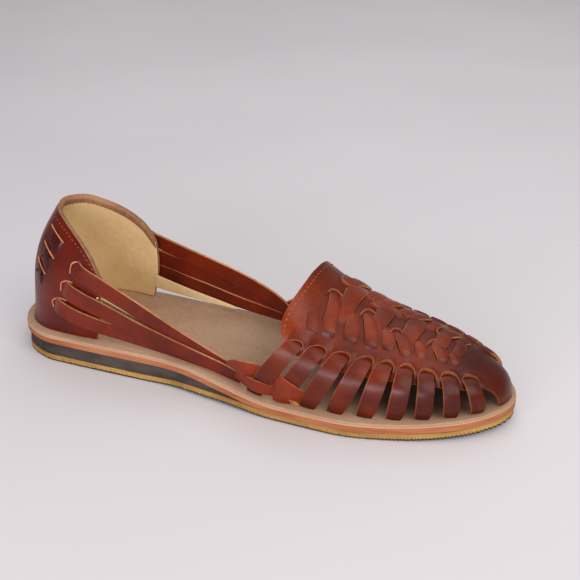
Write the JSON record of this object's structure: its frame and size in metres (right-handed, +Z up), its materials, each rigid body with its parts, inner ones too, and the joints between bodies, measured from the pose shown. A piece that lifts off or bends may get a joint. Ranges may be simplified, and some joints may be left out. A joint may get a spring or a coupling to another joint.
{
  "type": "woven huarache sandal",
  "caption": "Right-foot leather huarache sandal with a woven vamp on looped side straps, an open throat, a tall heel counter, side straps and a low wedge sole.",
  "frame": {"origin": "on the floor, under the middle of the sole's length and on the line the sole's plan is measured from", "axes": "+X towards the toe, -Y towards the outer (lateral) side of this right shoe, +Z up"},
  "size_m": [0.26, 0.0839, 0.0772],
  "materials": {
    "leather": "satin",
    "lining": "matte",
    "footbed": "matte",
    "board": "matte",
    "foam": "matte",
    "tread": "matte"
  },
  "bodies": {
    "root": {"outsole": "tread", "wedge": "foam", "midsole": "board", "footbed": "footbed", "vamp": "leather", "heel_counter": "leather", "straps_lateral": "leather", "backing_lateral": "lining", "straps_medial": "leather", "backing_medial": "lining"}
  },
  "joints": []
}
